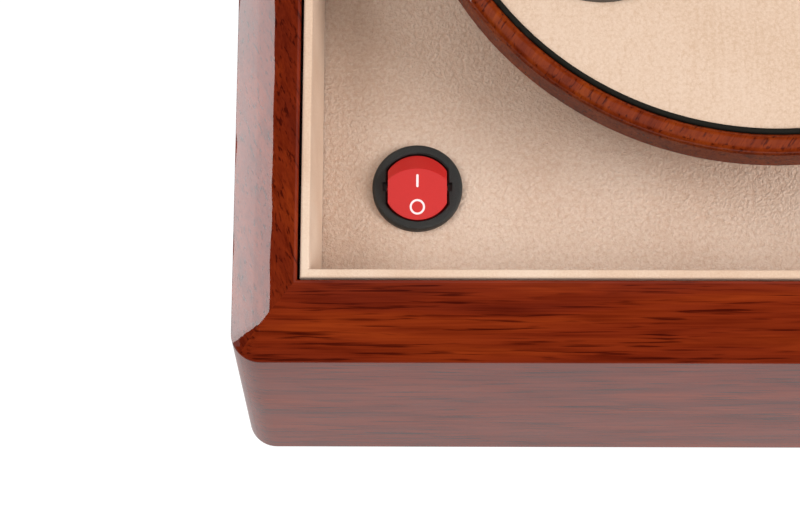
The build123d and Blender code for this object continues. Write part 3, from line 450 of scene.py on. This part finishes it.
zinc = worked_metal("zinc_plated_steel", "b9bcc0", 0.32, 0.5)
brass = worked_metal("drawn_brass", "d0a55a", 0.2, 0.4)
finish_with(zinc, "turntable_shaft", "shaft_clip", "thrust_washer", "hub_screws", "plate_screws")
finish_with(zinc, "motor_gearbox", "motor_can", "drive_plate", "plate_posts", "board_posts")
finish_with(brass, "shaft_bush", "switch_terminals", "hinge_pins", "hinge_base_leaves")
finish_with(brass, "hinge_lid_leaves", "hinge_base_screws", "hinge_lid_screws")

# ---- Switch rocker and its marks -----------------------------------------------
# Moulded in opaque red ABS with a satin face. The bar and ring are hot-stamped in
# white foil, a hair proud of the hollow face.
red_abs = fine_grained("satin_red_abs", "c32321", 0.36, 0.5, 0.00003, 0.45, 0.04)
finish_with(red_abs, "switch_rocker")
white_foil = fine_grained("white_hot_stamp", "f5e2e5", 0.45, 0.5, 0.00002, 0.4, 0.03)
bezel_low, bezel_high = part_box("switch_body")
switch_centre = (bezel_low + bezel_high) / 2
rocker_face = BVHTree.FromObject(nodes["switch_rocker"], bpy.context.evaluated_depsgraph_get())
foil_rise = 0.00005
drop_from = 0.02            # the marks' outlines fall onto the rocker from this far above it


def stamped(name, rows, closed):
    """A thin white mark laid on the rocker; rows are pairs of plan points in metres."""
    built = bmesh.new()
    corners = []
    for row in rows:
        made = []
        for x, y in row:
            above = Vector((switch_centre.x + x, switch_centre.y + y, bezel_high.z + drop_from))
            hit, normal, _, _ = rocker_face.ray_cast(above, Vector((0, 0, -1)))
            made += [built.verts.new(hit + normal * foil_rise), built.verts.new(hit - normal * foil_rise)]
        corners.append(made)
    joins = list(zip(corners, corners[1:])) + ([(corners[-1], corners[0])] if closed else [])
    for a, b in joins:
        for j, k in ((0, 2), (2, 3), (3, 1), (1, 0)):
            built.faces.new((a[j], a[k], b[k], b[j]))
    if not closed:
        for row in (corners[0], corners[-1]):
            built.faces.new((row[0], row[2], row[3], row[1]))
    bmesh.ops.recalc_face_normals(built, faces=built.faces)
    mesh = bpy.data.meshes.new(name)
    built.to_mesh(mesh)
    built.free()
    mark = bpy.data.objects.new(name, mesh)
    scene.collection.objects.link(mark)
    mesh.materials.append(white_foil)
    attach(mark, "switch_rocker")


bar_half_width, bar_foot, bar_head, bar_steps = 0.0003, -0.0009, 0.0023, 16
bar_rows = []
for i in range(bar_steps + 1):
    y = bar_foot + (bar_head - bar_foot) * (1 - math.cos(math.pi * i / bar_steps)) / 2
    end_reach = min(y - bar_foot, bar_head - y, bar_half_width)
    half = math.sqrt(max(0.0, bar_half_width**2 - (bar_half_width - end_reach) ** 2))
    half = max(half, bar_half_width / 8)
    bar_rows.append(((-half, y), (half, y)))
stamped("rocker_bar_mark", bar_rows, closed=False)
ring_y, ring_in, ring_out, ring_steps = -0.0058, 0.00143, 0.00194, 48
ring_rows = []
for i in range(ring_steps):
    turn = 2 * math.pi * i / ring_steps
    ring_rows.append([(r * math.cos(turn), ring_y + r * math.sin(turn)) for r in (ring_in, ring_out)])
stamped("rocker_ring_mark", ring_rows, closed=True)

# ---- Watch cushions ------------------------------------------------------------
# A foam pad in a sewn suede cover: a crown panel and a side band, joined by a seam
# with covered piping round the shoulder. The foam swells both between the seams.
cushion_suede = suede_cover("cushion_suede", "cba78c", "dabba1", "e5cab2", 1.0, 0.0003)
left_centre = sum(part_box("watch_cushion_left"), Vector()) / 2
right_centre = sum(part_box("watch_cushion_right"), Vector()) / 2
table_turn = math.atan2(right_centre.y - left_centre.y, right_centre.x - left_centre.x)
pad_half_width, pad_half_length = 0.0244, 0.0369
pad_levels, pad_segments = 24, 56
pad_start = 0.95            # the pad starts this much smaller, because the cloth swells
pad_foot, pad_reach = 0.012, 0.965   # its foot and its own height, as shares of the CAD pad's height
swell_cap = 0.0035
seam_share = 0.72           # height of the seam, as a share of the pad's
seam_pull, seam_reach = 0.0010, 0.0020
cord_radius = 0.0008
cord_steps, cord_sides = 96, 10


def pad_outline(share):
    """Half-size of the pad, as a share of its widest, at a share of its height."""
    foot = min(1.0, share / 0.14)
    crown = max(0.0, (share - 0.50) / 0.50)
    return math.sqrt(1 - 0.5 * (1 - foot) ** 2) * max(0.0, 1 - crown**2.6) ** (1 / 2.1)


for side in ("left", "right"):
    low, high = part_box(f"watch_cushion_{side}")
    centre = (low + high) / 2
    tall = high.z - low.z
    pad_frame = Matrix.Translation((centre.x, centre.y, low.z)) @ Matrix.Rotation(table_turn, 4, "Z")
    built = bmesh.new()
    rings = []
    for step in range(pad_levels + 1):
        share = step / pad_levels
        size = max(0.02, pad_outline(share)) * pad_start
        rise = tall * (pad_foot + pad_reach * share)
        ring = []
        for i in range(pad_segments):
            turn = 2 * math.pi * i / pad_segments
            across = pad_half_width * size * math.cos(turn)
            along = pad_half_length * size * math.sin(turn)
            at = Vector((across, along, rise))
            ring.append(built.verts.new(pad_frame @ at))
        rings.append(ring)
    for lower, upper in zip(rings, rings[1:]):
        for i in range(pad_segments):
            j = (i + 1) % pad_segments
            built.faces.new((lower[i], lower[j], upper[j], upper[i]))
    built.faces.new(list(reversed(rings[0])))
    built.faces.new(rings[-1])
    mesh = bpy.data.meshes.new(f"watch_pad_{side}")
    built.to_mesh(mesh)
    built.free()
    pad = bpy.data.objects.new(f"watch_pad_{side}", mesh)
    scene.collection.objects.link(pad)
    bpy.context.view_layer.objects.active = pad
    pad.select_set(True)
    remesh = pad.modifiers.new("remesh", "REMESH")
    remesh.mode = "VOXEL"
    remesh.voxel_size = 0.004
    bpy.ops.object.modifier_apply(modifier=remesh.name)
    before = [v.co.copy() for v in pad.data.vertices]
    cloth = pad.modifiers.new("cloth", "CLOTH")
    cloth.settings.use_pressure = True
    cloth.settings.uniform_pressure_force = 4.0
    cloth.settings.effector_weights.gravity = 0.0
    for step in range(1, 21):
        scene.frame_set(step)
    bpy.ops.object.modifier_apply(modifier=cloth.name)
    scene.frame_set(1)
    for v, start in zip(pad.data.vertices, before):
        move = v.co - start
        if move.length > swell_cap:
            v.co = start + move.normalized() * swell_cap
        v.co.z = min(max(v.co.z, low.z), high.z)
    for levels in (1, 1):
        smooth = pad.modifiers.new("smooth", "SUBSURF")
        smooth.levels = levels
        bpy.ops.object.modifier_apply(modifier=smooth.name)
    pad.select_set(False)
    seam_z = low.z + tall * seam_share
    for v in pad.data.vertices:
        near = math.exp(-(((v.co.z - seam_z) / seam_reach) ** 2))
        inward = Vector((centre.x - v.co.x, centre.y - v.co.y, 0))
        if inward.length > pad_half_width / 2:
            v.co += inward.normalized() * seam_pull * near
    for face in pad.data.polygons:
        face.use_smooth = True
    pad.data.materials.append(cushion_suede)
    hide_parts(f"watch_cushion_{side}")
    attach(pad, f"cushion_{side}")

    skin = BVHTree.FromObject(pad, bpy.context.evaluated_depsgraph_get())
    middle = Vector((centre.x, centre.y, seam_z))
    up = Vector((0, 0, 1))
    built = bmesh.new()
    loops = []
    for i in range(cord_steps):
        turn = 2 * math.pi * i / cord_steps + table_turn
        out = Vector((math.cos(turn), math.sin(turn), 0))
        hit, _, _, _ = skin.ray_cast(middle + out * 2 * pad_half_length, -out)
        at = hit + out * cord_radius * 0.2
        loop = []
        for j in range(cord_sides):
            around = 2 * math.pi * j / cord_sides
            loop.append(built.verts.new(at + (up * math.sin(around) + out * math.cos(around)) * cord_radius))
        loops.append(loop)
    for a, b in zip(loops, loops[1:] + loops[:1]):
        for j in range(cord_sides):
            k = (j + 1) % cord_sides
            built.faces.new((a[j], b[j], b[k], a[k]))
    bmesh.ops.recalc_face_normals(built, faces=built.faces)
    mesh = bpy.data.meshes.new(f"pad_piping_{side}")
    built.to_mesh(mesh)
    built.free()
    for face in mesh.polygons:
        face.use_smooth = True
    piping = bpy.data.objects.new(f"pad_piping_{side}", mesh)
    scene.collection.objects.link(piping)
    mesh.materials.append(cushion_suede)
    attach(piping, f"cushion_{side}")

# ---- Lid glass -----------------------------------------------------------------
# A clear float-glass pane, its edge hidden under the lip and the lining strips.
# It is nearly colourless, with the faintest drawn waviness.
pane, tree, shader = new_material(
    "clear_float_glass", Base_Color=srgb("f6fbf9"), Roughness=0.0, IOR=1.5, Transmission_Weight=1.0
)
faint = add_node(tree, "ShaderNodeTexNoise", {}, {"Vector": in_millimetres(tree, (60, 60, 60)), "Scale": 1.0})
wave = add_node(
    tree, "ShaderNodeBump", {}, {"Height": faint.outputs["Fac"], "Strength": 0.05, "Distance": 0.0002}
)
tree.links.new(wave.outputs["Normal"], shader.inputs["Normal"])
finish_with(pane, "lid_glass")
